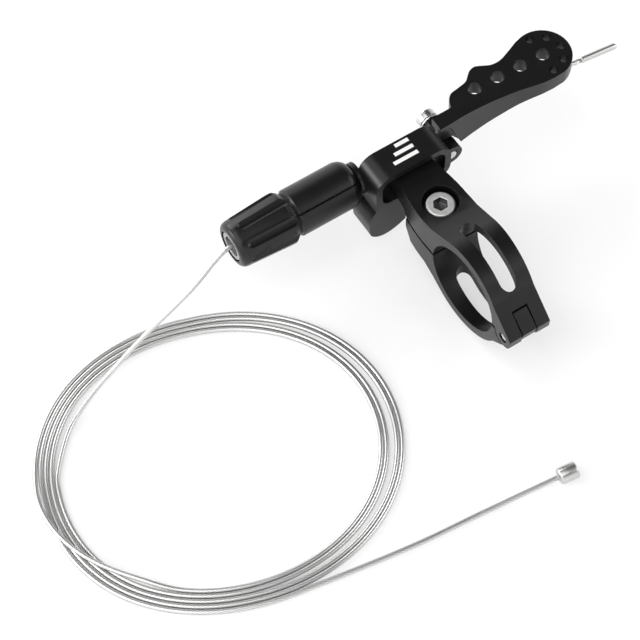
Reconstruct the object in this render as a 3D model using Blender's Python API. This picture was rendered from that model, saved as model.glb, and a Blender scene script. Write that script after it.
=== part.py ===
import math

import bmesh
import bpy
from mathutils import Matrix, Vector

for old in list(bpy.data.objects):
    bpy.data.objects.remove(old, do_unlink=True)

mm = 0.001
gap = 0.3 * mm  # between pieces that touch

# Handlebar clamp. Origin at the centre of the bar, X along the bar, Y towards the lever's body.
bar_radius = 11.1 * mm
bar_clearance = 0.05 * mm
strap_wall = 2.4 * mm
hinge_offset = 15.4 * mm
knuckle_radius = 2.8 * mm
tongue_width = 3.6 * mm
tongue_length = 4.4 * mm
hinge_pin_radius = 1.0 * mm
split_gap = 0.8 * mm
slot_width = 4.2 * mm
slot_half_length = 9.6 * mm
slot_centre_y = -0.9 * mm
bolt_y = 17.7 * mm
bolt_shank_radius = 2.0 * mm
bolt_head_radius = 3.5 * mm
bolt_head_height = 3.4 * mm
counterbore_radius = 4.4 * mm
counterbore_depth = 4.6 * mm
lower_end_y = 23.0 * mm
lower_depth = 6.6 * mm
bore_radius = bar_radius + bar_clearance
ring_radius = bore_radius + strap_wall
tongue_end = tongue_length - hinge_offset - knuckle_radius

# Arm, from the clamp to the loop
arm_top = 8.7 * mm
arm_bottom = 1.9 * mm
arm_end_y = 32.2 * mm
arm_half_width_end = 5.1 * mm
arm_half_width_bolt = 6.3 * mm
strap_half_width = 5.5 * mm

# Loop body around the arm's end
loop_left = -10.9 * mm
loop_right = 9.8 * mm
loop_front = 27.6 * mm
loop_depth = 7.85 * mm
loop_top = 11.9 * mm
loop_wall = 1.7 * mm
loop_corner = 4.2 * mm
belly_depth = 11.6 * mm
belly_side = 1.6 * mm
belly_right = 4.0 * mm
bracket_screw_radius = 1.5 * mm
bracket_screw_head_radius = 2.8 * mm
bracket_screw_head_height = 1.8 * mm
bracket_screw_y = 30.0 * mm
loop_bottom = arm_bottom - gap - loop_wall
loop_back = loop_front + loop_depth

# Cable line, through the barrel and the lever
cable_behind_loop = 0.85 * mm
cable_height = 2.3 * mm  # above the foot of the loop's cavity
cable_radius = 0.6 * mm
cable_bore = cable_radius + gap
cable_y = loop_back + cable_behind_loop
cable_z = loop_bottom + loop_wall + cable_height

# Lever and its pivot
pivot_x = loop_right + 3.4 * mm
cable_lever_arm = 4.6 * mm
pivot_z = cable_z - cable_lever_arm
lug_radius = 2.9 * mm
ear_setback = 4.2 * mm
ear_front = loop_front + ear_setback
ear_thickness = 3.5 * mm
washer_thickness = 0.4 * mm
root_back = cable_y + 2.9 * mm
root_right = 17.0 * mm
neck_left = loop_right + 1.1 * mm
neck_right = 15.0 * mm
neck_front = cable_y - 1.7 * mm
neck_back = cable_y + 1.0 * mm
neck_bottom = cable_z - 1.3 * mm
pivot_radius = 1.3 * mm
bush_radius = 2.0 * mm
pivot_head_radius = 1.75 * mm
pivot_head_height = 1.4 * mm
paddle_top = 9.5 * mm
plate_thickness = 4.3 * mm
web_thickness = 1.7 * mm
clamp_screw_x = 12.3 * mm
clamp_screw_radius = 1.4 * mm
clamp_head_radius = 2.5 * mm
clamp_head_height = 2.2 * mm
clamp_washer_radius = 2.6 * mm
large_hole_radius = 1.72 * mm
small_hole_radius = 1.1 * mm
hole_pitch = 6.33 * mm
head_radius = 7.1 * mm
small_hole_circle = 5.15 * mm
root_front = ear_front + ear_thickness + 2 * gap + washer_thickness

# Barrel adjuster, to the left of the loop
boss_radius = 4.0 * mm
boss_length = 0.7 * mm
sleeve_radius = 5.9 * mm
sleeve_length = 17.0 * mm
sleeve_bore = 3.3 * mm
sleeve_slit = 0.5 * mm
knob_length = 15.2 * mm
knob_radius = 6.5 * mm
knob_nose_radius = 5.8 * mm
knob_gap = 0.9 * mm
flute_count = 8
flute_radius = 1.55 * mm
flute_depth = 0.75 * mm
adjuster_radius = 2.9 * mm
seat_outer = 3.6 * mm
seat_depth = 2.4 * mm
housing_radius = 2.55 * mm

# Loose cable
surface_z = -16.0 * mm
coil_centre = Vector((-70.0 * mm, 1.0 * mm, 0))
coil_radius = 39.2 * mm
coil_short_radius = 33.6 * mm
coil_turn = math.radians(147)
coil_half_width = 2.9 * mm
coil_half_height = 0.8 * mm
nipple_radius = 1.95 * mm
nipple_length = 4.4 * mm
tail_length = 40.0 * mm
tail_straight = 33.0 * mm
tail_bend = Vector((0, -1.8 * mm, -0.9 * mm))
tail_cap_length = 10.0 * mm
tail_cap_radius = 0.8 * mm

X = Vector((1, 0, 0))
Y = Vector((0, 1, 0))
Z = Vector((0, 0, 1))


# Helpers
def material(name, colour, roughness, metallic):
    found = bpy.data.materials.get(name)
    if found:
        return found
    made = bpy.data.materials.new(name)
    made.use_nodes = True
    shader = made.node_tree.nodes["Principled BSDF"]
    shader.inputs["Base Color"].default_value = (*colour, 1)
    shader.inputs["Roughness"].default_value = roughness
    shader.inputs["Metallic"].default_value = metallic
    made.diffuse_color = (*colour, 1)
    return made


def finish(bm, name, origin=None):
    bmesh.ops.remove_doubles(bm, verts=bm.verts, dist=1e-7)
    bmesh.ops.recalc_face_normals(bm, faces=bm.faces)
    if origin is not None:
        bmesh.ops.translate(bm, verts=bm.verts, vec=-origin)
    mesh = bpy.data.meshes.new(name)
    bm.to_mesh(mesh)
    bm.free()
    mesh.shade_smooth()
    mesh.set_sharp_from_angle(angle=math.radians(32))
    made = bpy.data.objects.new(name, mesh)
    if origin is not None:
        made.location = origin
    bpy.context.scene.collection.objects.link(made)
    return made


def prism(name, outline, across, up, start, end, origin=None):
    """A flat outline, pushed from start to end along the third axis."""
    along = across.cross(up)
    bm = bmesh.new()
    ring = [bm.verts.new(across * a + up * b + along * start) for a, b in outline]
    face = bm.faces.new(ring)
    pushed = bmesh.ops.extrude_face_region(bm, geom=[face])["geom"]
    moved = [item for item in pushed if isinstance(item, bmesh.types.BMVert)]
    bmesh.ops.translate(bm, verts=moved, vec=along * (end - start))
    return finish(bm, name, origin)


def turned(name, profile, axis, centre, steps=40, origin=None):
    """A profile of (radius, place along the axis), spun round the axis."""
    side = Z if abs(axis.dot(Z)) < 0.5 else X
    solid = profile[0][0] == 0 and profile[-1][0] == 0
    bm = bmesh.new()
    points = [bm.verts.new(centre + side * r + axis * a) for r, a in profile]
    pairs = list(zip(points, points[1:]))
    if not solid:
        pairs.append((points[-1], points[0]))
    edges = [bm.edges.new(pair) for pair in pairs]
    bmesh.ops.spin(bm, geom=points + edges, cent=centre, axis=axis, angle=2 * math.pi, steps=steps)
    return finish(bm, name, origin)


def rod(name, radius, start, end, axis, centre, steps=32):
    return turned(name, [(0, start), (radius, start), (radius, end), (0, end)], axis, centre, steps)


def arc(centre_a, centre_b, radius, first, last, count):
    """Points on a circle, with angles in degrees."""
    points = []
    for step in range(count + 1):
        angle = math.radians(first + (last - first) * step / count)
        points.append((centre_a + radius * math.cos(angle), centre_b + radius * math.sin(angle)))
    return points


def rounded_box(left, right, bottom, top, radius, count=5):
    return (
        arc(right - radius, top - radius, radius, 0, 90, count)
        + arc(left + radius, top - radius, radius, 90, 180, count)
        + arc(left + radius, bottom + radius, radius, 180, 270, count)
        + arc(right - radius, bottom + radius, radius, 270, 360, count)
    )


def curve_through(points, count):
    """A smooth open curve through the points, ends included."""
    padded = [points[0]] + list(points) + [points[-1]]
    found = []
    for i in range(1, len(padded) - 2):
        a, b, c, d = (Vector(p) for p in padded[i - 1 : i + 3])
        for step in range(count):
            t = step / count
            square = (2 * a - 5 * b + 4 * c - d) * t**2
            cube = (3 * b - a - 3 * c + d) * t**3
            found.append(0.5 * (2 * b + (c - a) * t + square + cube))
    found.append(Vector(points[-1]))
    return found


def combine(target, other, operation="DIFFERENCE"):
    other.hide_render = True
    other.display_type = "WIRE"
    modifier = target.modifiers.new(operation.lower(), "BOOLEAN")
    modifier.operation = operation
    modifier.solver = "EXACT"
    modifier.object = other
    return target


def paint(made, name, colour, roughness, metallic):
    made.data.materials.append(material(name, colour, roughness, metallic))
    return made


def black(made):
    return paint(made, "anodised_" + made.name, (0.012, 0.012, 0.013), 0.35, 0.6)


def silver(made):
    return paint(made, "steel_" + made.name, (0.62, 0.62, 0.61), 0.28, 1.0)


def hex_socket(name, radius, axis, centre, start, end):
    return turned(name, [(0, start), (radius, start), (radius, end), (0, end)], axis, centre, 6)


# Clamp straps and arm
def plan_outline():
    """The arm and straps seen from above, as (x, y)."""
    side = [
        (arm_half_width_end, arm_end_y),
        (arm_half_width_end, loop_front),
        (arm_half_width_bolt, bolt_y),
        (strap_half_width + 0.4 * mm, 4 * mm),
        (strap_half_width, -8 * mm),
        (strap_half_width, -hinge_offset - knuckle_radius - 1 * mm),
    ]
    right = [tuple(p) for p in curve_through(side, 5)]
    left = [(-x, y) for x, y in reversed(right)]
    return right + left


def slot_outline():
    half = slot_half_length - slot_width / 2
    front = arc(0, slot_centre_y - half, slot_width / 2, 180, 360, 10)
    back = arc(0, slot_centre_y + half, slot_width / 2, 0, 180, 10)
    return front + back


def hinge_cutter(name, width, offset, top_end):
    """Room for a knuckle: a half round under the hinge's axis, open above it as far as top_end."""
    reach = knuckle_radius + gap
    outline = arc(-hinge_offset, 0, reach, 180, 360, 14)
    outline += [(-hinge_offset + reach, 1.2 * mm), (top_end, 1.2 * mm)]
    outline += [(top_end, 10 * mm), (-hinge_offset - reach, 10 * mm)]
    return prism(name, outline, Y, Z, offset - width / 2, offset + width / 2)


def clamp_upper():
    end = -hinge_offset - knuckle_radius
    rise = [(bolt_y - 1 * mm, arm_top), (12.2 * mm, arm_top + 0.7 * mm)]
    outer = arc(0, 0, ring_radius, 62, 146, 26)
    knuckle = [(end + 1.2 * mm, knuckle_radius - 0.2 * mm), (end, knuckle_radius - 1.3 * mm)]
    under = arc(-hinge_offset, 0, knuckle_radius, 200, 345, 10)
    split = split_gap / 2
    start = 180 - math.degrees(math.asin(split / bore_radius))
    stop = math.degrees(math.asin(split / bore_radius))
    bore = arc(0, 0, bore_radius, start, stop, 40)
    arm = [
        (lower_end_y, split),
        (lower_end_y + 1.2 * mm, arm_bottom),
        (arm_end_y, arm_bottom),
        (arm_end_y, arm_top),
    ]
    seat = [(knuckle_radius + gap - hinge_offset, split)]
    made = prism("clamp_upper", rise + outer + knuckle + under + seat + bore + arm, Y, Z, -10 * mm, 10 * mm)
    combine(made, prism("upper_plan", plan_outline(), X, Y, -20 * mm, 30 * mm), "INTERSECT")
    combine(made, prism("upper_slot", slot_outline(), X, Y, 0.5 * mm, 20 * mm))
    combine(made, hinge_cutter("upper_notch", tongue_width + 2 * gap, 0, tongue_end + gap))
    hole = [
        (0, -2 * mm),
        (bolt_shank_radius + gap, -2 * mm),
        (bolt_shank_radius + gap, arm_top - counterbore_depth),
        (counterbore_radius, arm_top - counterbore_depth),
        (counterbore_radius, arm_top + 5 * mm),
        (0, arm_top + 5 * mm),
    ]
    combine(made, turned("upper_bolt_hole", hole, Z, Vector((0, bolt_y, 0)), 40))
    pin = Vector((0, -hinge_offset, 0))
    combine(made, rod("upper_pin_hole", hinge_pin_radius + gap, -9 * mm, 9 * mm, X, pin, 20))
    screw = Vector((0, bracket_screw_y, 0))
    combine(made, rod("arm_screw_hole", bracket_screw_radius + gap, -1 * mm, arm_bottom + 5 * mm, Z, screw, 20))
    return black(made)


def clamp_lower():
    split = split_gap / 2
    low = -lower_depth
    nose = [
        (lower_end_y, -split),
        (lower_end_y, low + 3.2 * mm),
        (lower_end_y - 2.6 * mm, low),
        (bolt_y - 3.4 * mm, low - 0.5 * mm),
        (10.8 * mm, low - 2.4 * mm),
    ]
    outer = arc(0, 0, ring_radius, -58, -152, 28)
    end = -hinge_offset - knuckle_radius
    tongue = arc(-hinge_offset, 0, knuckle_radius - gap, 250, 200, 4) + [
        (end, knuckle_radius - 1.3 * mm),
        (end + 1.2 * mm, knuckle_radius - 0.2 * mm),
        (tongue_end, knuckle_radius + 2.2 * mm),
        (tongue_end, 0.9 * mm),
    ]
    start = 180 + math.degrees(math.asin(split / bore_radius))
    stop = 360 - math.degrees(math.asin(split / bore_radius))
    root = [(knuckle_radius + gap - hinge_offset, -split)]
    bore = arc(0, 0, bore_radius, start, stop, 32)
    made = prism("clamp_lower", nose + outer + tongue + root + bore, Y, Z, -10 * mm, 10 * mm)
    combine(made, prism("lower_plan", plan_outline(), X, Y, -30 * mm, 20 * mm), "INTERSECT")
    combine(made, prism("lower_slot", slot_outline(), X, Y, -20 * mm, -0.5 * mm))
    side = 8 * mm
    inner_end = knuckle_radius + gap - hinge_offset
    for name, way in (("lower_relief_left", -1), ("lower_relief_right", 1)):
        combine(made, hinge_cutter(name, side, way * (side + tongue_width) / 2, inner_end))
    thread = rod("lower_bolt_hole", bolt_shank_radius + gap, -20 * mm, 5 * mm, Z, Vector((0, bolt_y, 0)), 32)
    combine(made, thread)
    pin = Vector((0, -hinge_offset, 0))
    combine(made, rod("lower_pin_hole", hinge_pin_radius + gap, -9 * mm, 9 * mm, X, pin, 20))
    return black(made)


def hinge_pin():
    reach = strap_half_width - gap
    return silver(rod("hinge_pin", hinge_pin_radius, -reach, reach, X, Vector((0, -hinge_offset, 0)), 20))


def clamp_bolt():
    under_head = arm_top - counterbore_depth + gap
    top = under_head + bolt_head_height
    tip = -lower_depth + 0.2 * mm
    profile = [
        (0, tip),
        (bolt_shank_radius - 0.4 * mm, tip),
        (bolt_shank_radius, tip + 0.5 * mm),
        (bolt_shank_radius, under_head),
        (bolt_head_radius, under_head),
        (bolt_head_radius, top - 0.35 * mm),
        (bolt_head_radius - 0.35 * mm, top),
        (0, top),
    ]
    made = turned("clamp_bolt", profile, Z, Vector((0, bolt_y, 0)), 36)
    socket = hex_socket("bolt_socket", 1.9 * mm, Z, Vector((0, bolt_y, 0)), top - 2.2 * mm, top + 1 * mm)
    return silver(combine(made, socket))


# Loop body
def body_loop():
    outer = rounded_box(loop_left, loop_right, loop_bottom, loop_top, loop_corner, 6)
    made = prism("body_loop", outer, X, Z, -loop_back, -loop_front)
    low = loop_bottom - belly_depth
    belly = [
        (loop_left + 0.2 * mm, loop_bottom + loop_corner),
        (loop_left + 0.2 * mm, loop_bottom - 0.2 * mm),
        (loop_left - belly_side, loop_bottom - 2.8 * mm),
        (loop_left - belly_side, low + 5.0 * mm),
        (loop_left - belly_side + 0.5 * mm, low + 2.4 * mm),
        (loop_left + 0.7 * mm, low + 0.6 * mm),
        (loop_left + 2.9 * mm, low),
        (loop_left + 5.4 * mm, low + 0.4 * mm),
        (loop_left + 8.0 * mm, low + 1.7 * mm),
        (loop_left + 10.6 * mm, low + 3.9 * mm),
        (belly_right - 1.6 * mm, low + 6.9 * mm),
        (belly_right, low + belly_depth - 1.4 * mm),
        (belly_right + 1.0 * mm, loop_bottom + 0.6 * mm),
    ]
    rounded = [tuple(p) for p in curve_through(belly[1:-1], 3)]
    belly = belly[:1] + rounded + belly[-1:]
    combine(made, prism("belly", belly, X, Z, -loop_back + 0.35 * mm, -loop_front - 0.35 * mm), "UNION")
    ear = arc(pivot_x, pivot_z, lug_radius, -100, 90, 14) + [
        (loop_right - 2.2 * mm, pivot_z + lug_radius),
        (loop_right - 2.2 * mm, loop_bottom + 0.6 * mm),
    ]
    combine(made, prism("ear", ear, X, Z, -ear_front - ear_thickness, -ear_front), "UNION")
    cable_line = Vector((0, cable_y, cable_z))
    boss = rod("boss", boss_radius, loop_left - boss_length, loop_left + 0.6 * mm, X, cable_line, 36)
    combine(made, boss, "UNION")
    wall = loop_wall
    low_wall, high_wall = loop_bottom + wall, loop_top - wall
    cavity = rounded_box(loop_left + wall, loop_right - wall, low_wall, high_wall, loop_corner - wall, 5)
    front_cut = -loop_front + 2 * mm
    combine(made, prism("loop_cavity", cavity, X, Z, -loop_back - 8 * mm, front_cut))
    combine(made, rod("cable_passage", cable_bore, loop_left - 4 * mm, loop_left + 2 * mm, X, cable_line, 20))
    pivot = Vector((pivot_x, 0, pivot_z))
    ear_back = ear_front + ear_thickness
    combine(made, rod("ear_hole", pivot_radius + gap, ear_front - 1 * mm, ear_back + 1 * mm, Y, pivot, 24))
    screw = Vector((0, bracket_screw_y, 0))
    head_seat = loop_bottom - 1.0 * mm
    recess = [
        (0, loop_bottom - belly_depth - 3 * mm),
        (bracket_screw_head_radius + gap, loop_bottom - belly_depth - 3 * mm),
        (bracket_screw_head_radius + gap, head_seat),
        (bracket_screw_radius + gap, head_seat),
        (bracket_screw_radius + gap, loop_bottom + loop_wall + 1 * mm),
        (0, loop_bottom + loop_wall + 1 * mm),
    ]
    combine(made, turned("screw_recess", recess, Z, screw, 28))
    return black(made)


def bracket_screw():
    seat = loop_bottom - 1.0 * mm - gap
    low = seat - bracket_screw_head_height
    top = arm_bottom + 4.4 * mm
    profile = [
        (0, low),
        (bracket_screw_head_radius, low),
        (bracket_screw_head_radius, seat),
        (bracket_screw_radius, seat),
        (bracket_screw_radius, top),
        (0, top),
    ]
    made = turned("bracket_screw", profile, Z, Vector((0, bracket_screw_y, 0)), 28)
    screw = Vector((0, bracket_screw_y, 0))
    socket = hex_socket("bracket_socket", 1.4 * mm, Z, screw, low - 1 * mm, low + 1.1 * mm)
    return silver(combine(made, socket))


# Lever
lever_origin = Vector((pivot_x, 0, pivot_z))
head_centre = (43.15 * mm, 38.3 * mm)
back_edge = [
    (40.2, 44.9), (36.1, 43.2), (33.6, 42.4), (31.2, 42.5), (29.0, 43.6), (27.5, 44.2),
    (25.9, 43.8), (24.7, 42.8), (23.3, 41.7), (20.8, 41.2), (18.6, 40.8), (17.2, 39.5), (16.4, 37.6),
]
front_edge = [(10.9, 33.6), (14.0, 33.7), (18.5, 33.9), (24.0, 33.7), (29.0, 33.2), (33.0, 32.6), (38.2, 31.5), (41.6, 31.2)]
side_under = [(17.3, -0.7), (24.0, 1.4), (29.0, 2.8), (34.0, 4.2), (40.0, 5.1), (54.0, 5.5)]
flange_end = [(9.0, 8.6), (12.6, 8.4), (13.9, 7.9), (17.2, -0.8), (17.2, -5.0), (9.0, -5.0)]


def scaled(points):
    return [(a * mm, b * mm) for a, b in points]


def lever():
    head = arc(*head_centre, head_radius, -78, 112, 22)
    back = [tuple(p) for p in curve_through(scaled(back_edge), 3)]
    front = [tuple(p) for p in curve_through(scaled(front_edge), 3)]
    neck = [(root_right - 3.0 * mm, neck_back), (neck_left, neck_back)]
    made = prism("lever", front + head + back + neck, X, Y, -10 * mm, 20 * mm, lever_origin)
    under = [tuple(p) for p in curve_through(scaled(side_under), 4)]
    side = [(10.0 * mm, neck_bottom), (neck_right, neck_bottom)] + under
    side += [(54 * mm, paddle_top), (10.0 * mm, paddle_top)]
    combine(made, prism("lever_side", side, X, Z, -60 * mm, -20 * mm), "INTERSECT")
    combine(made, prism("flange_cut", scaled(flange_end), X, Z, -neck_front, -neck_front + 10 * mm))
    root = arc(pivot_x, pivot_z, lug_radius, 180, 330, 12) + [
        (root_right, cable_z - 2.2 * mm),
        (root_right, cable_z + 2.6 * mm),
        (loop_right + 0.9 * mm, cable_z + 2.6 * mm),
    ]
    combine(made, prism("lever_root", root, X, Z, -root_back, -root_front), "UNION")
    web_back = [(x, y + web_thickness) for x, y in front]
    hollow = [(root_right, web_back[0][1])] + [p for p in web_back if p[0] > root_right]
    hollow += [(60 * mm, web_back[-1][1]), (60 * mm, 60 * mm), (root_right, 60 * mm)]
    combine(made, prism("paddle_hollow", hollow, X, Y, -20 * mm, paddle_top - plate_thickness))
    for i in range(4):
        hole = Vector((head_centre[0] - i * hole_pitch, head_centre[1] + 0.25 * mm * i, 0))
        combine(made, rod(f"paddle_hole_{i}", large_hole_radius, -5 * mm, 15 * mm, Z, hole, 28))
    for i in range(5):
        angle = math.radians(90 - 46 * i)
        hole = Vector((head_centre[0] + small_hole_circle * math.cos(angle),
                       head_centre[1] + small_hole_circle * math.sin(angle), 0))
        combine(made, rod(f"head_hole_{i}", small_hole_radius, -5 * mm, 15 * mm, Z, hole, 16))
    line = Vector((0, cable_y, cable_z))
    combine(made, rod("lever_cable_hole", cable_bore, 5 * mm, 70 * mm, X, line, 16))
    screw = Vector((clamp_screw_x, 0, cable_z))
    combine(made, rod("lever_screw_hole", clamp_screw_radius + gap, cable_y, root_back + 3 * mm, Y, screw, 20))
    pivot = Vector((pivot_x, 0, pivot_z))
    combine(made, rod("lever_bush_hole", bush_radius + gap, root_front - 2 * mm, root_back + 2 * mm, Y, pivot, 24))
    return black(made)


def ring(name, inner, outer, start, end, axis, centre, steps=32):
    return turned(name, [(inner, start), (outer, start), (outer, end), (inner, end)], axis, centre, steps)


def pivot_parts():
    pivot = Vector((pivot_x, 0, pivot_z))
    end = root_back + gap
    profile = [
        (0, ear_front - 0.1 * mm),
        (pivot_radius, ear_front - 0.1 * mm),
        (pivot_radius, end),
        (pivot_head_radius, end),
        (pivot_head_radius, end + pivot_head_height),
        (0, end + pivot_head_height),
    ]
    bolt = turned("pivot_bolt", profile, Y, pivot, 28)
    top = end + pivot_head_height
    silver(combine(bolt, hex_socket("pivot_socket", 1.3 * mm, Y, pivot, top - 1 * mm, top + 1 * mm)))
    bush = ring("pivot_bush", pivot_radius + gap, bush_radius, root_front, root_back, Y, pivot)
    paint(bush, "bronze_pivot_bush", (0.55, 0.36, 0.16), 0.4, 1.0)
    start = ear_front + ear_thickness + gap
    outer = lug_radius - 0.2 * mm
    silver(ring("pivot_washer", pivot_radius + gap, outer, start, start + washer_thickness, Y, pivot))


def clamp_screw_parts():
    screw = Vector((clamp_screw_x, 0, cable_z))
    washer_start = root_back + gap
    washer_end = washer_start + washer_thickness
    silver(ring("clamp_washer", clamp_screw_radius + gap, clamp_washer_radius, washer_start, washer_end, Y, screw))
    start = washer_end + gap
    end = start + clamp_head_height
    profile = [
        (0, cable_y + cable_bore),
        (clamp_screw_radius, cable_y + cable_bore),
        (clamp_screw_radius, start),
        (clamp_head_radius, start),
        (clamp_head_radius, end - 0.4 * mm),
        (clamp_head_radius - 0.4 * mm, end),
        (0, end),
    ]
    made = turned("cable_clamp_screw", profile, Y, screw, 28)
    silver(combine(made, hex_socket("clamp_socket", 1.4 * mm, Y, screw, end - 1.3 * mm, end + 1 * mm)))


# Barrel adjuster
sleeve_end = loop_left - boss_length - gap
sleeve_start = sleeve_end - sleeve_length
knob_end = sleeve_start - knob_gap
knob_start = knob_end - knob_length


def barrel_sleeve():
    line = Vector((0, cable_y, cable_z))
    profile = [
        (sleeve_bore, sleeve_start),
        (sleeve_radius - 0.5 * mm, sleeve_start),
        (sleeve_radius, sleeve_start + 0.5 * mm),
        (sleeve_radius, sleeve_end - 2.6 * mm),
        (sleeve_radius - 0.35 * mm, sleeve_end - 1.4 * mm),
        (sleeve_radius - 1.0 * mm, sleeve_end - 0.5 * mm),
        (sleeve_radius - 2.0 * mm, sleeve_end),
        (sleeve_bore, sleeve_end),
    ]
    made = turned("barrel_sleeve", profile, X, line, 48)
    reach = sleeve_radius + 1 * mm
    half = sleeve_slit / 2
    slit = prism("sleeve_slit_cutter", [(-reach, -half), (0, -half), (0, half), (-reach, half)], Y, Z,
                 sleeve_start - 1 * mm, sleeve_end + 1 * mm)
    slit.data.transform(Matrix.Rotation(math.radians(-12), 4, "X"))
    slit.data.transform(Matrix.Translation((0, cable_y, cable_z)))
    return black(combine(made, slit))


def adjuster_screw():
    start = knob_start + seat_depth + gap
    end = sleeve_end - 2 * mm
    line = Vector((0, cable_y, cable_z))
    return silver(ring("adjuster_screw", cable_bore, adjuster_radius, start, end, X, line))


def adjuster_knob():
    line = Vector((0, cable_y, cable_z))
    nose = 1.6 * mm
    bore = adjuster_radius + gap
    profile = [
        (seat_outer + gap, knob_start),
        (knob_nose_radius - 1.5 * mm, knob_start),
        (knob_nose_radius - 0.75 * mm, knob_start + 0.25 * mm),
        (knob_nose_radius - 0.25 * mm, knob_start + 0.75 * mm),
        (knob_nose_radius, knob_start + nose),
        (knob_radius, knob_end - 2.4 * mm),
        (knob_radius, knob_end - 1.0 * mm),
        (knob_radius - 0.7 * mm, knob_end),
        (bore, knob_end),
        (bore, knob_start + seat_depth + gap),
        (seat_outer + gap, knob_start + seat_depth + gap),
    ]
    made = turned("adjuster_knob", profile, X, line, 54, line)
    taper = math.atan2(knob_radius - knob_nose_radius, knob_length - nose)
    flute_length = knob_length
    for i in range(flute_count):
        cap = flute_radius * 0.6
        flute_profile = [(0, -cap), (flute_radius * 0.75, -cap * 0.5), (flute_radius, 0.4 * mm),
                         (flute_radius, flute_length), (0, flute_length)]
        flute = turned(f"flute_{i}", flute_profile, X, Vector((0, 0, 0)), 12)
        flute.data.transform(Matrix.Rotation(-taper, 4, "Y"))
        outward = knob_nose_radius + flute_radius - flute_depth
        flute.data.transform(Matrix.Translation((knob_start + 2.9 * mm, 0, outward)))
        flute.data.transform(Matrix.Rotation(2 * math.pi * i / flute_count, 4, "X"))
        flute.data.transform(Matrix.Translation(line))
        combine(made, flute)
    return black(made)


def housing_seat():
    line = Vector((0, cable_y, cable_z))
    end = knob_start + seat_depth
    step = end - 0.8 * mm
    profile = [
        (housing_radius, knob_start + 0.2 * mm),
        (seat_outer, knob_start + 0.2 * mm),
        (seat_outer, end),
        (cable_bore, end),
        (cable_bore, step),
        (housing_radius, step),
    ]
    return silver(turned("housing_seat", profile, X, line, 32))


# Cable
def tube(name, points, radius):
    curve = bpy.data.curves.new(name, "CURVE")
    curve.dimensions = "3D"
    curve.bevel_depth = radius
    curve.bevel_resolution = 2
    curve.use_fill_caps = True
    curve.twist_mode = "MINIMUM"
    spline = curve.splines.new("POLY")
    spline.points.add(len(points) - 1)
    for point, place in zip(spline.points, points):
        point.co = (*place, 1)
    made = bpy.data.objects.new(name, curve)
    bpy.context.scene.collection.objects.link(made)
    return silver(made)


cable_split = 8.4 * mm
lying_z = surface_z + cable_radius
lead_route = [
    (-50.5, 36.1, 3.2), (-59.0, 34.9, 0.0), (-68.0, 33.0, -4.2),
    (-77.0, 30.6, -8.6), (-86.0, 27.4, -12.4), (-93.8, 23.6, -14.8),
]


def cable_parts():
    cable_line = Vector((0, cable_y, cable_z))
    run_start = knob_start + seat_depth - 0.8 * mm
    silver(rod("cable_run", cable_radius, run_start, cable_split, X, cable_line, 12))
    tail_end = cable_line + X * (clamp_screw_x + tail_length) + tail_bend * 0.55
    tail_route = [
        cable_line + X * (clamp_screw_x + tail_straight * 0.5),
        cable_line + X * (clamp_screw_x + tail_straight),
        tail_end,
        cable_line + X * (clamp_screw_x + tail_length + tail_cap_length) + tail_bend,
    ]
    bent = curve_through(tail_route, 6)[6:-6]
    tube("cable_tail", [cable_line + X * (cable_split + gap)] + bent, cable_radius)
    way = (tail_route[-1] - tail_end).normalized()
    cap = [(0, 0), (tail_cap_radius * 0.7, 0), (tail_cap_radius, 0.5 * mm),
           (tail_cap_radius, tail_cap_length - 0.6 * mm), (tail_cap_radius * 0.6, tail_cap_length), (0, tail_cap_length)]
    made = turned("tail_cap", cap, Z, Vector((0, 0, 0)), 16)
    made.data.transform(way.to_track_quat("Z", "Y").to_matrix().to_4x4())
    made.data.transform(Matrix.Translation(tail_end + way * gap))
    silver(made)


def coil_edge(angle, outside):
    """A point beside the oval coil's middle line, at an angle in degrees."""
    turn = math.radians(angle)
    along, across = coil_short_radius * math.cos(turn - coil_turn), coil_radius * math.sin(turn - coil_turn)
    distance = coil_radius * coil_short_radius / math.hypot(along, across) + outside
    return Vector((coil_centre.x + distance * math.cos(turn), coil_centre.y + distance * math.sin(turn), 0))


def cord_parts():
    height = coil_half_height
    count = 10
    outline = []
    for step in range(count):
        turn = 2 * math.pi * step / count
        outline.append((coil_radius + coil_half_width * math.cos(turn), height * math.sin(turn)))
    coil = turned("cable_coil", outline, Z, Vector((0, 0, 0)), 48)
    coil.data.transform(Matrix.Scale(coil_short_radius / coil_radius, 4, Y))
    coil.data.transform(Matrix.Rotation(coil_turn, 4, "Z"))
    coil.data.transform(Matrix.Translation((coil_centre.x, coil_centre.y, surface_z + height)))
    silver(coil)
    start = Vector((knob_start + seat_depth - 0.8 * mm - gap, cable_y, cable_z))
    route = [start] + [Vector(p) * mm for p in lead_route]
    beside = coil_edge(150, -coil_half_width - cable_radius - gap)
    beside.z = lying_z
    route.append(beside)
    lead = curve_through(route, 6)
    tube("cable_lead", lead, cable_radius)
    leaving = coil_edge(262, coil_half_width + cable_radius + gap)
    free_route = [
        leaving + Vector((0, 0, lying_z)),
        Vector((-61.0, -39.6, lying_z / mm)) * mm,
        Vector((-44.4, -41.6, lying_z / mm)) * mm,
        Vector((-29.4, -43.0, lying_z / mm)) * mm,
        Vector((-10.5, -45.4, (surface_z + nipple_radius) / mm)) * mm,
    ]
    free = curve_through(free_route, 8)
    tube("cable_free_end", free, cable_radius)
    way = (free[-1] - free[-2]).normalized()
    place = free[-1] + way * gap
    head = [(0, 0), (nipple_radius - 0.3 * mm, 0), (nipple_radius, 0.3 * mm),
            (nipple_radius, nipple_length - 0.3 * mm), (nipple_radius - 0.3 * mm, nipple_length), (0, nipple_length)]
    nipple = turned("cable_nipple", head, Z, Vector((0, 0, 0)), 24)
    nipple.data.transform(way.to_track_quat("Z", "Y").to_matrix().to_4x4())
    nipple.data.transform(Matrix.Translation(place))
    silver(nipple)


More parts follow.
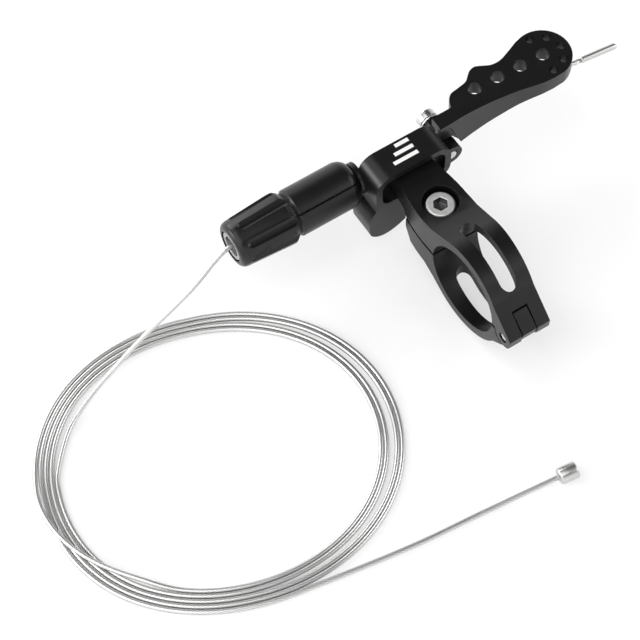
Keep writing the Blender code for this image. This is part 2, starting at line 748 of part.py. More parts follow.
clamp_upper()
clamp_lower()
hinge_pin()
clamp_bolt()
body_loop()
bracket_screw()
lever()
pivot_parts()
clamp_screw_parts()
barrel_sleeve()
adjuster_screw()
adjuster_knob()
housing_seat()
cable_parts()
cord_parts()
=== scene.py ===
import math

import bmesh
import bpy
import numpy as np
from mathutils import Matrix, Vector


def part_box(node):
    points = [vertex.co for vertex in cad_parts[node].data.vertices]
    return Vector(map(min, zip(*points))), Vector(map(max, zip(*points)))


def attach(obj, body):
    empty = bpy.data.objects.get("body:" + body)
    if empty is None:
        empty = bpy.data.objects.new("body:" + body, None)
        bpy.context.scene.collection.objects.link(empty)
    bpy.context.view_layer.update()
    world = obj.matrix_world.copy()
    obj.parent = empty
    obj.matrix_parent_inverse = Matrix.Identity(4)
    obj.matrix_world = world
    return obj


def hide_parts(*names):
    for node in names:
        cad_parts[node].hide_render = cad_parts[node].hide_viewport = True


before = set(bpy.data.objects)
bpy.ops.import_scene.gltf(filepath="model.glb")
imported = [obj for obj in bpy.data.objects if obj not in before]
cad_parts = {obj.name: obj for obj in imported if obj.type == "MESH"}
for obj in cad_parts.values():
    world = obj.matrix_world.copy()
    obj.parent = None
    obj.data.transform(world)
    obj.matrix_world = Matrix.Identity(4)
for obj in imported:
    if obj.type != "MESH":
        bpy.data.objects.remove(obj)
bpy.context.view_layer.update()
mm = 0.001
print("frame loaded,", len(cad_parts), "nodes")


# camera, set at the photograph's viewing angle
cameraView = {
    "azimuth": 31.14, "elevation": 60.11, "roll": -1.81,
    "distance": 495.6 * mm, "target": (-37.17 * mm, 10.87 * mm, 0.0),
    "lens": 123.75, "sensor": 36.0,
}


def placeCamera():
    a, e, r = (math.radians(cameraView[k]) for k in ("azimuth", "elevation", "roll"))
    right = Vector((math.cos(a), -math.sin(a), 0))
    forward = Vector((math.sin(a) * math.cos(e), math.cos(a) * math.cos(e), -math.sin(e)))
    up = right.cross(forward)
    right, up = right * math.cos(r) + up * math.sin(r), up * math.cos(r) - right * math.sin(r)
    bpy.ops.object.camera_add()
    camera = bpy.context.object
    camera.name = "viewCamera"
    place = Matrix((right, up, -forward)).transposed().to_4x4()
    place.translation = Vector(cameraView["target"]) - forward * cameraView["distance"]
    camera.matrix_world = place
    camera.data.lens = cameraView["lens"]
    camera.data.sensor_width = cameraView["sensor"]
    camera.data.clip_start = 0.01
    bpy.context.scene.camera = camera


placeCamera()
print("camera placed")


# shader groups, each with a colour, a roughness and a normal to give out
reliefDepth = 0.02 * mm


def newGroup(name, inputs):
    group = bpy.data.node_groups.new(name, "ShaderNodeTree")
    for label, kind, value in inputs:
        socket = group.interface.new_socket(label, in_out="INPUT", socket_type=kind)
        if value is not None:
            socket.default_value = value
    outputs = {"Color": "NodeSocketColor", "Roughness": "NodeSocketFloat", "Normal": "NodeSocketVector"}
    for label, kind in outputs.items():
        group.interface.new_socket(label, in_out="OUTPUT", socket_type=kind)
    start = group.nodes.new("NodeGroupInput")
    end = group.nodes.new("NodeGroupOutput")
    return group, start, end


def addNode(tree, kind, values=None, **settings):
    # values go by a socket's name, or by its number where names repeat:
    # a Mix node's colours are 6 and 7, and a Map Range node's limits are 1 to 4
    made = tree.nodes.new(kind)
    for key, value in settings.items():
        setattr(made, key, value)
    for key, value in (values or {}).items():
        made.inputs[key].default_value = value
    return made


def addRelief(group, start, end, height):
    bump = addNode(group, "ShaderNodeBump", {"Distance": reliefDepth})
    group.links.new(start.outputs["Relief"], bump.inputs["Strength"])
    group.links.new(height, bump.inputs["Height"])
    group.links.new(bump.outputs["Normal"], end.inputs["Normal"])


def satinFinishGroup():
    # fine blasted grain and soft handling marks in the gloss
    group, start, end = newGroup("satinFinish", [
        ("Base", "NodeSocketColor", (0.01, 0.01, 0.01, 1)), ("Lift", "NodeSocketFloat", 0.15),
        ("Gloss", "NodeSocketFloat", 0.3), ("Spread", "NodeSocketFloat", 0.12),
        ("Grain", "NodeSocketFloat", 9000.0), ("Relief", "NodeSocketFloat", 0.08)])
    link = group.links.new
    coords = addNode(group, "ShaderNodeTexCoord")
    marks = addNode(group, "ShaderNodeTexNoise", {"Scale": 260.0, "Detail": 6.0, "Roughness": 0.6})
    grain = addNode(group, "ShaderNodeTexNoise", {"Detail": 2.0})
    link(coords.outputs["Object"], marks.inputs["Vector"])
    link(coords.outputs["Object"], grain.inputs["Vector"])
    link(start.outputs["Grain"], grain.inputs["Scale"])
    spread = addNode(group, "ShaderNodeMath", {1: 0.5}, operation="SUBTRACT")
    link(marks.outputs["Fac"], spread.inputs[0])
    gloss = addNode(group, "ShaderNodeMath", operation="MULTIPLY_ADD")
    link(spread.outputs[0], gloss.inputs[0])
    link(start.outputs["Spread"], gloss.inputs[1])
    link(start.outputs["Gloss"], gloss.inputs[2])
    link(gloss.outputs[0], end.inputs["Roughness"])
    lift = addNode(group, "ShaderNodeMath", operation="MULTIPLY")
    link(marks.outputs["Fac"], lift.inputs[0])
    link(start.outputs["Lift"], lift.inputs[1])
    paler = addNode(group, "ShaderNodeMix", {7: (0.2, 0.2, 0.21, 1)}, data_type="RGBA")  # handled places
    link(lift.outputs[0], paler.inputs[0])
    link(start.outputs["Base"], paler.inputs[6])
    link(paler.outputs[2], end.inputs["Color"])
    addRelief(group, start, end, grain.outputs["Fac"])
    return group


def turnedMarksGroup():
    # rings left by the lathe, round the axis that Mapping turns onto Z
    group, start, end = newGroup("turnedMarks", [
        ("Vector", "NodeSocketVector", None), ("Base", "NodeSocketColor", (0.7, 0.7, 0.7, 1)),
        ("Gloss", "NodeSocketFloat", 0.25), ("Pitch", "NodeSocketFloat", 900.0),
        ("Relief", "NodeSocketFloat", 0.15)])
    link = group.links.new
    rings = addNode(group, "ShaderNodeTexWave", {"Distortion": 0.6, "Detail": 3.0}, wave_type="RINGS",
                    rings_direction="Z")
    link(start.outputs["Vector"], rings.inputs["Vector"])
    link(start.outputs["Pitch"], rings.inputs["Scale"])
    stain = addNode(group, "ShaderNodeTexNoise", {"Scale": 400.0, "Detail": 5.0})
    link(start.outputs["Vector"], stain.inputs["Vector"])
    tint = addNode(group, "ShaderNodeMix", {7: (0.35, 0.35, 0.34, 1)}, data_type="RGBA")
    amount = addNode(group, "ShaderNodeMath", {1: 0.45}, operation="MULTIPLY")
    link(stain.outputs["Fac"], amount.inputs[0])
    link(amount.outputs[0], tint.inputs[0])
    link(start.outputs["Base"], tint.inputs[6])
    link(tint.outputs[2], end.inputs["Color"])
    gloss = addNode(group, "ShaderNodeMath", {1: 0.12}, operation="MULTIPLY_ADD")
    link(rings.outputs["Fac"], gloss.inputs[0])
    link(start.outputs["Gloss"], gloss.inputs[2])
    link(gloss.outputs[0], end.inputs["Roughness"])
    addRelief(group, start, end, rings.outputs["Fac"])
    return group


satinFinish = satinFinishGroup()
turnedMarks = turnedMarksGroup()


def newMaterial(name, metallic, specular=0.5):
    made = bpy.data.materials.new(name)
    made.use_nodes = True
    shader = made.node_tree.nodes["Principled BSDF"]
    shader.inputs["Metallic"].default_value = metallic
    shader.inputs["Specular IOR Level"].default_value = specular
    return made, made.node_tree, shader


def connect(tree, group, shader):
    tree.links.new(group.outputs["Color"], shader.inputs["Base Color"])
    tree.links.new(group.outputs["Roughness"], shader.inputs["Roughness"])
    tree.links.new(group.outputs["Normal"], shader.inputs["Normal"])


def satinMaterial(name, colour, gloss, lift, metallic=0.0, relief=0.08, specular=0.4):
    made, tree, shader = newMaterial(name, metallic, specular)
    group = addNode(tree, "ShaderNodeGroup", node_tree=satinFinish)
    group.inputs["Base"].default_value = (*colour, 1)
    group.inputs["Gloss"].default_value = gloss
    group.inputs["Lift"].default_value = lift
    group.inputs["Relief"].default_value = relief
    connect(tree, group, shader)
    return made


def boxCentre(node):
    low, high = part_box(node)
    return (low + high) / 2


def turnedMaterial(name, colour, gloss, node, turn=(0, 0, 0)):
    # the rings run round the middle of the node, about Z or the axis that turn brings there
    made, tree, shader = newMaterial(name, 1.0)
    group = addNode(tree, "ShaderNodeGroup", node_tree=turnedMarks)
    group.inputs["Base"].default_value = (*colour, 1)
    group.inputs["Gloss"].default_value = gloss
    coords = addNode(tree, "ShaderNodeTexCoord")
    mapping = addNode(tree, "ShaderNodeMapping", {"Location": tuple(boxCentre(node)), "Rotation": turn},
                      vector_type="TEXTURE")
    tree.links.new(coords.outputs["Object"], mapping.inputs["Vector"])
    tree.links.new(mapping.outputs["Vector"], group.inputs["Vector"])
    connect(tree, group, shader)
    return made


alongX = (0, math.radians(90), 0)
alongY = (math.radians(90), 0, 0)
anodised = satinMaterial("anodisedBlack", (0.003, 0.003, 0.0035), 0.33, 0.008)
knobBlack = satinMaterial("knobBlack", (0.003, 0.003, 0.0035), 0.3, 0.006, relief=0.04)
boltSteel = turnedMaterial("boltSteel", (0.9, 0.9, 0.89), 0.42, "clamp_bolt")
screwSteel = turnedMaterial("screwSteel", (0.82, 0.82, 0.81), 0.2, "cable_clamp_screw", alongY)
pinSteel = turnedMaterial("pinSteel", (0.8, 0.8, 0.79), 0.22, "hinge_pin", alongX)
pivotSteel = turnedMaterial("pivotSteel", (0.8, 0.8, 0.79), 0.22, "pivot_bolt", alongY)
# painted shade: the housing seat in the knob's mouth gets a darker steel than the other steel, for the shade
# there; the adjuster screw shares it
seatSteelPaintedShade = turnedMaterial("seatSteelPaintedShade", (0.42, 0.42, 0.42), 0.3, "housing_seat", alongX)
# painted shade: a dark steel for the walls and floor of the hex sockets, where the recess lies in shade
socketPaintedShade = satinMaterial("socketPaintedShade", (0.18, 0.18, 0.18), 0.3, 0.1, metallic=1.0)
bushBronze = turnedMaterial("bushBronze", (0.6, 0.38, 0.17), 0.3, "pivot_bush", alongY)
castZinc = satinMaterial("castZinc", (0.62, 0.62, 0.61), 0.32, 0.1, metallic=1.0, relief=0.2)
print("finishes made")


# carried-over pieces get eased edges: a merged copy of the node, with its sharp edges bevelled
easedEdges = {
    "clamp_upper": {"width": 0.28, "finish": anodised, "body": "mount_body", "slot": "black_anodised"},
    "clamp_lower": {"width": 0.28, "finish": anodised, "body": "mount_body", "slot": "black_anodised"},
    "body_loop": {"width": 0.26, "finish": anodised, "body": "mount_body", "slot": "black_anodised"},
    "lever": {"width": 0.3, "finish": anodised, "body": "paddle", "slot": "black_anodised"},
    "barrel_sleeve": {"width": 0.12, "finish": anodised, "body": "mount_body", "slot": "black_anodised"},
    "adjuster_knob": {"width": 0.14, "finish": knobBlack, "body": "knob", "slot": "black_anodised"},
    "clamp_bolt": {"width": 0.14, "finish": boltSteel, "body": "mount_body", "slot": "steel"},
    "cable_clamp_screw": {"width": 0.12, "finish": screwSteel, "body": "paddle", "slot": "steel"},
    "clamp_washer": {"width": 0.08, "finish": screwSteel, "body": "paddle", "slot": "steel"},
    "pivot_bolt": {"width": 0.12, "finish": pivotSteel, "body": "mount_body", "slot": "steel"},
    "housing_seat": {"width": 0.1, "finish": seatSteelPaintedShade, "body": "knob", "slot": "steel"},
    "hinge_pin": {"width": 0.16, "finish": pinSteel, "body": "mount_body", "slot": "steel"},
    "tail_cap": {"width": 0.1, "finish": castZinc, "body": "paddle", "slot": "cable_steel"},
}
edgeAngle = math.radians(34)
edgeChoices = {
    "merge": 0.002 * mm, "flat": math.radians(1.0),  # closeness of doubles, and what still counts as one face
    "segments": 2, "weight": 80,  # of the bevel, and of the large faces in the shading
}


def easeNode(node, width, finish, body, slot):
    bpy.ops.object.select_all(action="DESELECT")
    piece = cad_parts[node].copy()
    piece.data = piece.data.copy()
    piece.name = node + "Eased"
    for key in list(piece.keys()):
        del piece[key]
    piece.parent = None
    bpy.context.scene.collection.objects.link(piece)
    piece.select_set(True)
    bpy.context.view_layer.objects.active = piece
    bpy.ops.object.mode_set(mode="EDIT")
    bpy.ops.mesh.select_all(action="SELECT")
    bpy.ops.mesh.remove_doubles(threshold=edgeChoices["merge"])
    bpy.ops.mesh.dissolve_limited(angle_limit=edgeChoices["flat"])
    bpy.ops.object.mode_set(mode="OBJECT")
    bevel = piece.modifiers.new("easedEdge", "BEVEL")
    bevel.width = width * mm
    bevel.segments = edgeChoices["segments"]
    bevel.limit_method = "ANGLE"
    bevel.angle_limit = edgeAngle
    bevel.use_clamp_overlap = True
    bpy.ops.object.modifier_apply(modifier=bevel.name)
    bpy.ops.object.shade_smooth_by_angle(angle=edgeAngle)
    facing = piece.modifiers.new("flatFaces", "WEIGHTED_NORMAL")
    facing.keep_sharp = True
    facing.weight = edgeChoices["weight"]
    bpy.ops.object.modifier_apply(modifier=facing.name)
    piece.data.materials.clear()
    piece.data.materials.append(finish)
    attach(piece, body)
    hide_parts(node)
    return piece


eases = {node: easeNode(node, **choice) for node, choice in easedEdges.items()}
print("edges eased")


# hex sockets: their walls and floor get a darker steel than the head round them, painted shade for the recess
sockets = {
    "clamp_bolt": {"axis": 2, "radius": 1.95, "depth": 0.25},
    "cable_clamp_screw": {"axis": 1, "radius": 1.45, "depth": 0.2},
    "pivot_bolt": {"axis": 1, "radius": 1.35, "depth": 0.2},
}
socketReach = 3.0  # no socket goes deeper under its head's top


def paintSocketShade(node, axis, radius, depth):
    mesh = eases[node].data
    middle, top = boxCentre(node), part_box(node)[1][axis]
    mesh.materials.append(socketPaintedShade)
    for face in mesh.polygons:
        away = face.center - middle
        away[axis] = 0
        below = top - face.center[axis]
        if away.length < radius * mm and depth * mm < below < socketReach * mm:
            face.material_index = 1


for node, choice in sockets.items():
    paintSocketShade(node, **choice)
print("sockets darkened")


# the sleeve's slit faces the viewer in the photograph
slitTurn = math.radians(-36)


def turnSleeve():
    middle = boxCentre("barrel_sleeve")
    turn = Matrix.Translation(middle) @ Matrix.Rotation(slitTurn, 4, "X") @ Matrix.Translation(-middle)
    eases["barrel_sleeve"].data.transform(turn)


turnSleeve()
print("sleeve turned")


# pieces that stay as the solids have them, with a finish of their own
plainFinishes = {
    "bracket_screw": boltSteel, "pivot_bush": bushBronze, "pivot_washer": pivotSteel,
    "adjuster_screw": seatSteelPaintedShade,
}
for node, finish in plainFinishes.items():
    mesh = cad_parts[node].data
    mesh.materials.clear()
    mesh.materials.append(finish)
    for face in mesh.polygons:
        face.use_smooth = False
print("inner pieces finished")


# stranded cable: a tube whose lobes twist along its length
strand = {"radius": 0.6 * mm, "lobes": 8, "sides": 24, "relief": 0.04, "pitch": 8.5 * mm, "step": 0.9 * mm}
# each strand has a light stripe and a dark one, painted shade for the groove between wires, which the shading
# also sets lower
wireLook = {
    "light": (0.76, 0.76, 0.75, 1), "grooveShade": (0.34, 0.34, 0.34, 1), "gloss": (0.3, 0.45),
    "grooveShadeFrom": 0.22, "grooveShadeTo": 0.5,  # from the light stripe's middle, in widths of a strand
    "relief": 0.3, "depth": 0.04 * mm,
}


def wireMaterial():
    made, tree, shader = newMaterial("strandedWire", 1.0)
    uv = addNode(tree, "ShaderNodeUVMap", uv_map="along")
    split = addNode(tree, "ShaderNodeSeparateXYZ")
    tree.links.new(uv.outputs["UV"], split.inputs["Vector"])
    turn = addNode(tree, "ShaderNodeMath", {1: float(strand["lobes"])}, operation="MULTIPLY")
    tree.links.new(split.outputs["Y"], turn.inputs[0])
    wave = addNode(tree, "ShaderNodeMath", operation="FRACT")
    tree.links.new(turn.outputs[0], wave.inputs[0])
    fromMiddle = addNode(tree, "ShaderNodeMath", {1: 0.5}, operation="SUBTRACT")
    tree.links.new(wave.outputs[0], fromMiddle.inputs[0])
    depth = addNode(tree, "ShaderNodeMath", operation="ABSOLUTE")
    tree.links.new(fromMiddle.outputs[0], depth.inputs[0])
    # painted shade: the dark stripes darken the wire's colour for the grooves between its strands
    tint = addNode(tree, "ShaderNodeMix", {6: wireLook["light"], 7: wireLook["grooveShade"]}, data_type="RGBA")
    grooveShadeMask = addNode(tree, "ShaderNodeMapRange",
                      {1: wireLook["grooveShadeFrom"], 2: wireLook["grooveShadeTo"], 3: 0.0, 4: 1.0})
    tree.links.new(depth.outputs[0], grooveShadeMask.inputs[0])
    tree.links.new(grooveShadeMask.outputs[0], tint.inputs[0])
    tree.links.new(tint.outputs[2], shader.inputs["Base Color"])
    lightGloss, grooveShadeGloss = wireLook["gloss"]
    gloss = addNode(tree, "ShaderNodeMapRange", {1: 0.0, 2: 1.0, 3: lightGloss, 4: grooveShadeGloss})
    tree.links.new(grooveShadeMask.outputs[0], gloss.inputs[0])
    tree.links.new(gloss.outputs[0], shader.inputs["Roughness"])
    bump = addNode(tree, "ShaderNodeBump", {"Strength": wireLook["relief"], "Distance": wireLook["depth"]},
                   invert=True)
    tree.links.new(grooveShadeMask.outputs[0], bump.inputs["Height"])
    tree.links.new(bump.outputs["Normal"], shader.inputs["Normal"])
    return made


strandedWire = wireMaterial()


def evenly(points, step):
    # the same line in even steps, and how far along it each point lies
    points = np.array(points, float)
    lengths = np.concatenate([[0], np.cumsum(np.linalg.norm(np.diff(points, axis=0), axis=1))])
    count = max(2, int(round(lengths[-1] / step)) + 1)
    at = np.linspace(0, lengths[-1], count)
    return np.stack([np.interp(at, lengths, points[:, k]) for k in range(3)], 1), at


def wireTube(name, points, body):
    path, at = evenly(points, strand["step"])
    tangent = np.gradient(path, axis=0)
    tangent /= np.linalg.norm(tangent, axis=1)[:, None]
    side = np.cross(tangent[0], (0, 0, 1.0))
    mesh = bmesh.new()
    uv = mesh.loops.layers.uv.new("along")
    rings, sides = [], strand["sides"]
    turns = np.arange(sides) * 2 * math.pi / sides
    shape = strand["radius"] * (1 - strand["relief"] * 0.5 * (1 - np.cos(strand["lobes"] * turns)))
    for i in range(len(path)):
        side = side - tangent[i] * (side @ tangent[i])
        side /= np.linalg.norm(side)
        other = np.cross(tangent[i], side)
        angles = turns + 2 * math.pi * at[i] / strand["pitch"]
        across, along = (np.cos(angles) * shape)[:, None], (np.sin(angles) * shape)[:, None]
        rings.append([mesh.verts.new(p) for p in path[i] + across * side + along * other])
    for i in range(len(rings) - 1):
        for k in range(sides):
            n = (k + 1) % sides
            face = mesh.faces.new((rings[i][k], rings[i][n], rings[i + 1][n], rings[i + 1][k]))
            face.smooth = True
            for loop, (u, v) in zip(face.loops, ((i, k), (i, k + 1), (i + 1, k + 1), (i + 1, k))):
                loop[uv].uv = (at[u] / strand["pitch"], v / sides)
    mesh.faces.new(list(reversed(rings[0])))
    mesh.faces.new(rings[-1])
    bmesh.ops.recalc_face_normals(mesh, faces=mesh.faces)
    data = bpy.data.meshes.new(name)
    mesh.to_mesh(data)
    mesh.free()
    piece = bpy.data.objects.new(name, data)
    bpy.context.scene.collection.objects.link(piece)
    data.materials.append(strandedWire)
    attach(piece, body)
    return piece, path


routeSteps = 6  # from each given point of a route to the next


def smoothRoute(points):
    # a curve through the points, timed by their distance, so that uneven spacing makes no kink
    points = [Vector(p) for p in points]
    padded = [2 * points[0] - points[1]] + points + [2 * points[-1] - points[-2]]
    found = []
    for a, b, c, d in zip(padded, padded[1:], padded[2:], padded[3:]):
        t1 = math.sqrt((b - a).length)
        t2 = t1 + math.sqrt((c - b).length)
        t3 = t2 + math.sqrt((d - c).length)
        for step in range(routeSteps):
            t = t1 + (t2 - t1) * step / routeSteps
            ab, bc, cd = a.lerp(b, t / t1), b.lerp(c, (t - t1) / (t2 - t1)), c.lerp(d, (t - t2) / (t3 - t2))
            found.append(ab.lerp(bc, t / t2).lerp(bc.lerp(cd, (t - t1) / (t3 - t1)), (t - t1) / (t2 - t1)))
    found.append(points[-1])
    return found


# the loose cable, from the knob round its coil to the nipple
looseCable = {
    "surface": -16.0, "centre": (-70.0, 1.0),  # the table's height and the coil's middle
    "inner": (34.6, -0.6, 0.2, 1.8, -1.2),  # mean radius, then cosine and sine of the angle and of twice it
    "join": 156.0, "leave": 264.0, "turnStart": 135.0, "step": 6.0,  # angles in degrees
    "slots": (0, 2, 4, 1, 3),  # each turn's place in the bundle as it passes the left side
    "pitch": 1.24,  # from one place to the next
    "crossing": (160.0, 212.0), "opening": (425.0, 492.0),  # where turns change places
    "rise": 1.25, "riseOutside": 14.0, "riseInside": 6.0,  # how a turn climbs over the others as it crosses
    "parting": 1.15, "partingAt": 340.0, "partingFrom": (1.1, 1.9),  # the outer places stand off there
    "lead": [
        (-46.6, 36.2, 3.75), (-50.0, 35.5, 2.7), (-53.8, 34.5, 1.15), (-58.0, 33.7, -0.7),
        (-62.7, 33.2, -2.8), (-67.6, 32.8, -4.9), (-72.4, 32.3, -7.0), (-76.8, 31.7, -9.0),
        (-80.9, 31.0, -10.9), (-85.0, 30.2, -12.6), (-89.0, 29.0, -14.0), (-92.8, 27.3, -14.9),
        (-96.5, 24.9, -15.35),
    ],
    "free": [(-59.0, -39.1), (-44.4, -41.3), (-29.4, -42.8), (-10.5, -45.4)],
    "nippleHeight": 1.95,  # the wire's height over the table where it enters the nipple
}


def eased(low, high, value):
    t = min(1.0, max(0.0, (value - low) / (high - low)))
    return t * t * (3 - 2 * t)


def coilPoint(total):
    # one point of the coil, by the angle that the wire has gone round
    turn = int((total - looseCable["turnStart"]) // 360)
    angle = total - 360 * turn
    slot = looseCable["slots"][turn]
    outermost = len(looseCable["slots"]) - 1
    start, stop = looseCable["crossing"]
    outside, inside = looseCable["riseOutside"], looseCable["riseInside"]
    crossed = eased(start, stop, angle)
    over = 0.0
    if slot == outermost:
        slot -= outermost * crossed
        climbed = eased(start - outside, start + inside, angle)
        over = climbed * (1 - eased(stop - inside, stop + outside, angle))
    else:
        slot += crossed
    slot += eased(*looseCable["opening"], angle)
    a = math.radians(angle)
    mean, c1, s1, c2, s2 = looseCable["inner"]
    parted = looseCable["parting"] * max(0.0, math.cos(a - math.radians(looseCable["partingAt"])))
    radius = (mean + c1 * math.cos(a) + s1 * math.sin(a) + c2 * math.cos(2 * a) + s2 * math.sin(2 * a)
              + slot * looseCable["pitch"] + parted * eased(*looseCable["partingFrom"], slot))
    x, y = looseCable["centre"]
    height = lyingHeight + looseCable["rise"] * over
    return Vector((x + radius * math.cos(a), y + radius * math.sin(a), height))


def loosePath():
    start = Vector((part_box("cable_lead")[1].x, runLine.y, runLine.z)) / mm
    total = (len(looseCable["slots"]) - 1) * 360 + looseCable["leave"] - looseCable["join"]
    count = int(total / looseCable["step"])
    coil = [coilPoint(looseCable["join"] + total * i / count) for i in range(count + 1)]
    freeEnd = [Vector((x, y, lyingHeight)) for x, y in looseCable["free"][:-1]]
    last = Vector((*looseCable["free"][-1], looseCable["surface"] + looseCable["nippleHeight"]))
    route = [start] + [Vector(p) for p in looseCable["lead"]] + coil + freeEnd + [last]
    return [p * mm for p in smoothRoute(route)]


lyingHeight = looseCable["surface"] + strand["radius"] / mm
runLine = boxCentre("cable_run")
loose, loosePoints = wireTube("looseCable", loosePath(), "mount_body")
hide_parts("cable_lead", "cable_coil", "cable_free_end")

runEnds = [Vector((end.x, runLine.y, runLine.z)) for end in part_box("cable_run")]
runCable = wireTube("runCable", runEnds, "pulled_cable")[0]
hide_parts("cable_run")

# the cable past the clamp screw: where it bends, how long it lies in line with its cap, the cap's radius
tailShape = {"bendAt": 0.6, "inLine": 4.0, "capRadius": 0.8}


def tailPath():
    # straight under the paddle, then bent a little and straight again into its cap
    low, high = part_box("cable_tail")
    capLow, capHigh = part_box("tail_cap")
    capRadius = tailShape["capRadius"] * mm
    start = Vector((low.x, runLine.y, runLine.z))
    mouth = Vector((high.x, low.y + strand["radius"], low.z + strand["radius"]))
    tip = Vector((capHigh.x, capLow.y + capRadius, capLow.z + capRadius))
    back = mouth - (tip - mouth).normalized() * tailShape["inLine"] * mm
    bend = start.lerp(Vector((high.x, runLine.y, runLine.z)), tailShape["bendAt"])
    bent = smoothRoute([start.lerp(bend, 0.5), bend, back, mouth])
    return [start] + bent[routeSteps:]  # up to the bend it is straight


tailCable = wireTube("tailCable", tailPath(), "paddle")[0]
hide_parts("cable_tail")


# cast nipple: a cylinder with an eased rim and the wire's countersink
nippleShape = {
    "radius": 1.95, "length": 4.4, "sides": 48, "rim": 0.4, "rimSteps": 3,
    "dimple": 0.75, "slope": 0.25, "depth": 0.35,  # the countersink: its place from the edge, slope and depth
    "aim": 7,  # steps of the wire that it lies in line with
}


def castNipple():
    way = Vector(loosePoints[-1]) - Vector(loosePoints[-1 - nippleShape["aim"]])
    way.normalize()
    bpy.ops.object.select_all(action="DESELECT")
    bpy.ops.mesh.primitive_cylinder_add(vertices=nippleShape["sides"], radius=nippleShape["radius"] * mm,
                                        depth=nippleShape["length"] * mm)
    piece = bpy.context.object
    piece.name = "castNipple"
    bpy.ops.object.mode_set(mode="EDIT")
    bpy.ops.mesh.select_all(action="DESELECT")
    edit = bmesh.from_edit_mesh(piece.data)
    for face in edit.faces:
        face.select = face.normal.z > 0.9
    bpy.ops.mesh.inset(thickness=nippleShape["dimple"] * mm)
    bpy.ops.mesh.inset(thickness=nippleShape["slope"] * mm, depth=-nippleShape["depth"] * mm)
    bpy.ops.mesh.select_all(action="DESELECT")
    bpy.ops.object.mode_set(mode="OBJECT")
    bevel = piece.modifiers.new("rim", "BEVEL")
    bevel.width = nippleShape["rim"] * mm
    bevel.segments = nippleShape["rimSteps"]
    bevel.limit_method = "ANGLE"
    bevel.angle_limit = math.radians(60)
    bpy.ops.object.modifier_apply(modifier=bevel.name)
    bpy.ops.object.shade_smooth_by_angle(angle=edgeAngle)
    turn = way.to_track_quat("Z", "Y").to_matrix().to_4x4()
    piece.data.transform(Matrix.Translation(boxCentre("cable_nipple")) @ turn)
    piece.data.materials.append(castZinc)
    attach(piece, "mount_body")
    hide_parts("cable_nipple")
    return piece


nipple = castNipple()
print("cable laid")


# plain etched bars on the loop's top
etchedBars = {
    "count": 3, "centre": (-0.4, 32.3), "width": 1.0, "length": 6.6, "pitch": 2.0,
    "shorter": 0.22, "slant": 0.7,  # each bar against the one before it
    "lift": 0.015, "thick": 0.05, "rounding": 0.3, "roundSteps": 4,
}


def etchedMark():
    made = satinMaterial("etchedWhite", (0.75, 0.75, 0.74), 0.5, 0.1)
    x, y = etchedBars["centre"]
    centre = Vector((x * mm, y * mm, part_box("body_loop")[1].z + etchedBars["lift"] * mm))
    bpy.ops.object.select_all(action="DESELECT")
    bars = []
    for i in range(etchedBars["count"]):
        bpy.ops.mesh.primitive_cube_add(size=1)
        bar = bpy.context.object
        length = etchedBars["length"] * mm * (1 - etchedBars["shorter"] * i)
        bar.scale = (length, etchedBars["width"] * mm, etchedBars["thick"] * mm)
        row = i - 1  # the second bar lies at the centre
        bar.location = centre + Vector((etchedBars["slant"] * mm * row, etchedBars["pitch"] * mm * row, 0))
        bars.append(bar)
    bpy.ops.object.select_all(action="DESELECT")
    for bar in bars:
        bar.select_set(True)
    bpy.context.view_layer.objects.active = bars[0]
    bpy.ops.object.join()
    piece = bpy.context.object
    piece.name = "etchedBars"
    bpy.ops.object.transform_apply(location=True, rotation=True, scale=True)
    bevel = piece.modifiers.new("rounded", "BEVEL")
    bevel.width = etchedBars["rounding"] * mm
    bevel.segments = etchedBars["roundSteps"]
    bpy.ops.object.modifier_apply(modifier=bevel.name)
    piece.data.materials.clear()
    piece.data.materials.append(made)
    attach(piece, "mount_body")


etchedMark()
print("bars etched")


# the floor, just under the loose cable
# the camera sees part of its white as light of its own, the glow, so that shadows on it stay pale
floorChoices = {"size": 6.0, "gap": 0.05, "value": 0.9, "roughness": 0.9, "glow": 0.45}


def floorMaterial(name):
    made, tree, shader = newMaterial(name, 0.0, 0.0)
    value = floorChoices["value"]
    shader.inputs["Base Color"].default_value = (value, value, value, 1)
    shader.inputs["Roughness"].default_value = floorChoices["roughness"]
    white = addNode(tree, "ShaderNodeEmission", {"Color": (1, 1, 1, 1), "Strength": 1.0})
    rays = addNode(tree, "ShaderNodeLightPath")
    amount = addNode(tree, "ShaderNodeMath", {1: floorChoices["glow"]}, operation="MULTIPLY")
    tree.links.new(rays.outputs["Is Camera Ray"], amount.inputs[0])
    mixed = addNode(tree, "ShaderNodeMixShader")
    tree.links.new(amount.outputs[0], mixed.inputs[0])
    tree.links.new(shader.outputs[0], mixed.inputs[1])
    tree.links.new(white.outputs[0], mixed.inputs[2])
    tree.links.new(mixed.outputs[0], tree.nodes["Material Output"].inputs["Surface"])
    return made


bpy.ops.object.select_all(action="DESELECT")
floorHeight = (looseCable["surface"] - floorChoices["gap"]) * mm
bpy.ops.mesh.primitive_plane_add(size=floorChoices["size"], location=(0, 0, floorHeight))
studioFloor = bpy.context.object
studioFloor.name = "studioFloor"
studioFloor.data.materials.append(floorMaterial("paleFloor"))
print("floor laid")

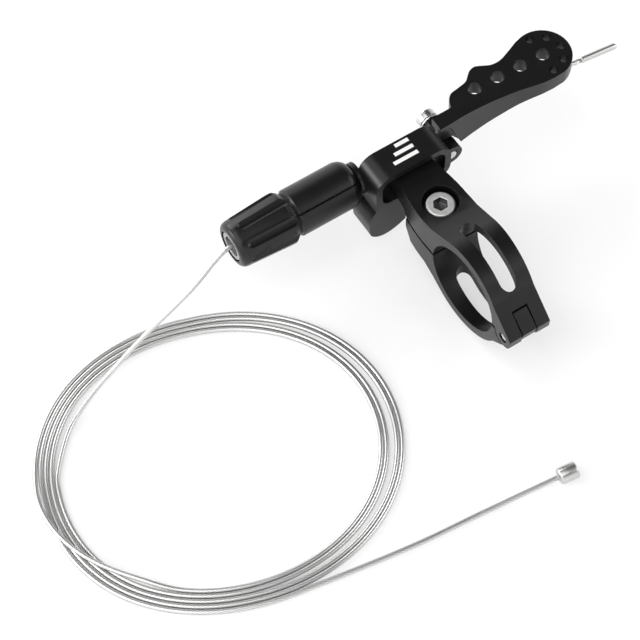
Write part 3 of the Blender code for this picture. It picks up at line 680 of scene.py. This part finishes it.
# a bright band low round the horizon, brighter on the left, and a dim ceiling that the black top faces mirror
skyChoices = {"low": 1.15, "high": 0.07, "from": 0.3, "to": 0.7, "lean": -0.4}


def studioSky():
    world = bpy.data.worlds.new("studio")
    bpy.context.scene.world = world
    world.use_nodes = True
    tree = world.node_tree
    coords = addNode(tree, "ShaderNodeTexCoord")
    split = addNode(tree, "ShaderNodeSeparateXYZ")
    tree.links.new(coords.outputs["Generated"], split.inputs["Vector"])
    fade = addNode(tree, "ShaderNodeMapRange", {1: skyChoices["from"], 2: skyChoices["to"],
                                                3: skyChoices["low"], 4: skyChoices["high"]},
                   interpolation_type="SMOOTHSTEP")
    tree.links.new(split.outputs["Z"], fade.inputs[0])
    lean = addNode(tree, "ShaderNodeMath", {1: skyChoices["lean"], 2: 1.0}, operation="MULTIPLY_ADD")
    tree.links.new(split.outputs["X"], lean.inputs[0])
    strength = addNode(tree, "ShaderNodeMath", operation="MULTIPLY")
    tree.links.new(fade.outputs[0], strength.inputs[0])
    tree.links.new(lean.outputs[0], strength.inputs[1])
    tree.links.new(strength.outputs[0], tree.nodes["Background"].inputs["Strength"])
    tree.nodes["Background"].inputs["Color"].default_value = (1, 1, 1, 1)


studioSky()

# area lamps, square, all aimed at one place between coil and lever
lampTarget = Vector((-0.03, 0, 0))
lampChoices = {
    "keyLamp": {"place": (-0.62, -0.1, 0.95), "size": 1.4, "power": 12.0},
    "backLamp": {"place": (-0.2, 0.95, 0.5), "size": 0.7, "power": 5.0},
    "fillLamp": {"place": (0.75, -0.45, 0.6), "size": 0.9, "power": 5.0},
    "sideLamp": {"place": (-0.85, 0.42, 0.26), "size": 0.4, "power": 3.0},
}
for name, choice in lampChoices.items():
    bpy.ops.object.light_add(type="AREA", location=choice["place"])
    lamp = bpy.context.object
    lamp.name = name
    lamp.data.size = choice["size"]
    lamp.data.energy = choice["power"]
    lamp.rotation_euler = (lampTarget - Vector(choice["place"])).to_track_quat("-Z", "Y").to_euler()

bpy.context.scene.view_settings.view_transform = "Standard"
print("studio set")
